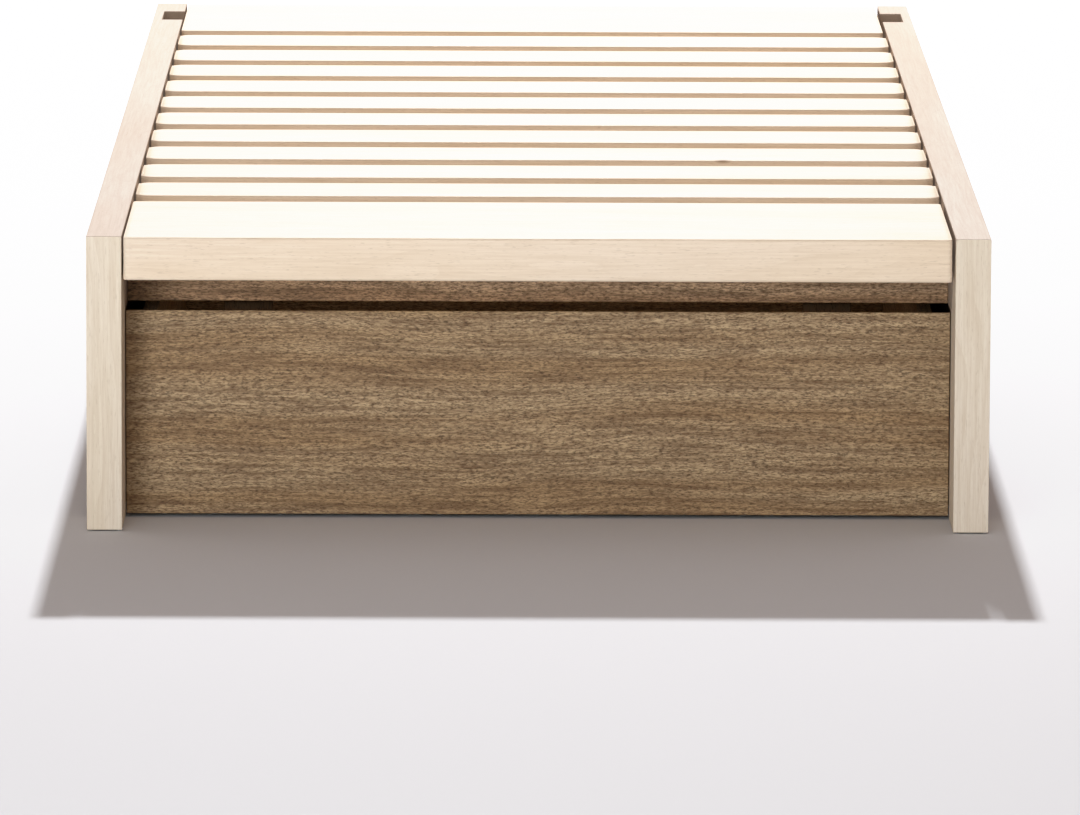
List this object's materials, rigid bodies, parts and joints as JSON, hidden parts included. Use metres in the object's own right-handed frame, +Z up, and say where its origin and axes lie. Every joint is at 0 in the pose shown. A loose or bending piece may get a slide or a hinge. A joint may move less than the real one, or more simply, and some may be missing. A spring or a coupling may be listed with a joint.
{
  "type": "platform bed with storage drawer",
  "caption": "Single slatted platform bed with mitred side frames, headboard sockets, and a full-width storage drawer that rolls out of the foot end on castors.",
  "frame": {"origin": "centre of the bed's footprint, on the floor", "axes": "+X across the bed, to the right as seen from the foot end; +Y along the bed, towards the head; +Z up"},
  "size_m": [0.92, 2.02, 0.304],
  "materials": {
    "maple": "fine-grained pale maple, soaped matt",
    "smoked_oak": "open-pored smoked oak, oiled",
    "birch_ply": "birch plywood, clear lacquer",
    "steel": "zinc-plated pressed steel",
    "nylon": "dark moulded nylon",
    "rubber": "moulded rubber",
    "felt": "pressed wool felt"
  },
  "bodies": {
    "frame": {"left_foot_post": "maple", "left_head_post": "maple", "left_top_rail": "maple", "left_low_rail": "maple", "left_infill_panel": "maple", "left_foot_glide": "felt", "left_head_glide": "felt", "left_slat_cleat": "maple", "left_drawer_guide": "maple", "right_foot_post": "maple", "right_head_post": "maple", "right_top_rail": "maple", "right_low_rail": "maple", "right_infill_panel": "maple", "right_foot_glide": "felt", "right_head_glide": "felt", "right_slat_cleat": "maple", "right_drawer_guide": "maple", "foot_board": "maple", "head_board": "maple", "slat_01": "maple", "slat_02": "maple", "slat_03": "maple", "slat_04": "maple", "slat_05": "maple", "slat_06": "maple", "slat_07": "maple", "slat_08": "maple", "slat_09": "maple", "slat_10": "maple", "foot_rail": "smoked_oak", "head_panel": "smoked_oak", "middle_panel": "birch_ply", "left_drawer_stop": "smoked_oak", "left_closing_bumper": "rubber", "right_drawer_stop": "smoked_oak", "right_closing_bumper": "rubber"},
    "drawer": {"drawer_front": "smoked_oak", "drawer_bottom": "smoked_oak", "drawer_left_side": "smoked_oak", "drawer_right_side": "smoked_oak", "drawer_box_front": "smoked_oak", "drawer_back": "smoked_oak", "front_left_castor_bracket": "steel", "front_left_castor_axle": "steel", "front_right_castor_bracket": "steel", "front_right_castor_axle": "steel", "rear_left_castor_bracket": "steel", "rear_left_castor_axle": "steel", "rear_right_castor_bracket": "steel", "rear_right_castor_axle": "steel"},
    "front_left_wheel": {"front_left_castor_wheel": "nylon"},
    "front_right_wheel": {"front_right_castor_wheel": "nylon"},
    "rear_left_wheel": {"rear_left_castor_wheel": "nylon"},
    "rear_right_wheel": {"rear_right_castor_wheel": "nylon"}
  },
  "joints": [
    {"name": "drawer_slide", "type": "slide", "parent": "frame", "child": "drawer", "axis": [0, -1, 0], "range_m": [0, 0.843]},
    {"name": "front_left_wheel_spin", "type": "hinge", "parent": "drawer", "child": "front_left_wheel", "pos_m": [-0.3537, -0.8217, 0.02], "axis": [1, 0, 0], "continuous": true},
    {"name": "front_right_wheel_spin", "type": "hinge", "parent": "drawer", "child": "front_right_wheel", "pos_m": [0.3537, -0.8217, 0.02], "axis": [1, 0, 0], "continuous": true},
    {"name": "rear_left_wheel_spin", "type": "hinge", "parent": "drawer", "child": "rear_left_wheel", "pos_m": [-0.3537, -0.0317, 0.02], "axis": [1, 0, 0], "continuous": true},
    {"name": "rear_right_wheel_spin", "type": "hinge", "parent": "drawer", "child": "rear_right_wheel", "pos_m": [0.3537, -0.0317, 0.02], "axis": [1, 0, 0], "continuous": true}
  ],
  "couplings": [
    {"joint": "front_left_wheel_spin", "follows": "drawer_slide", "rad_per_m": 50},
    {"joint": "front_right_wheel_spin", "follows": "drawer_slide", "rad_per_m": 50},
    {"joint": "rear_left_wheel_spin", "follows": "drawer_slide", "rad_per_m": 50},
    {"joint": "rear_right_wheel_spin", "follows": "drawer_slide", "rad_per_m": 50}
  ]
}
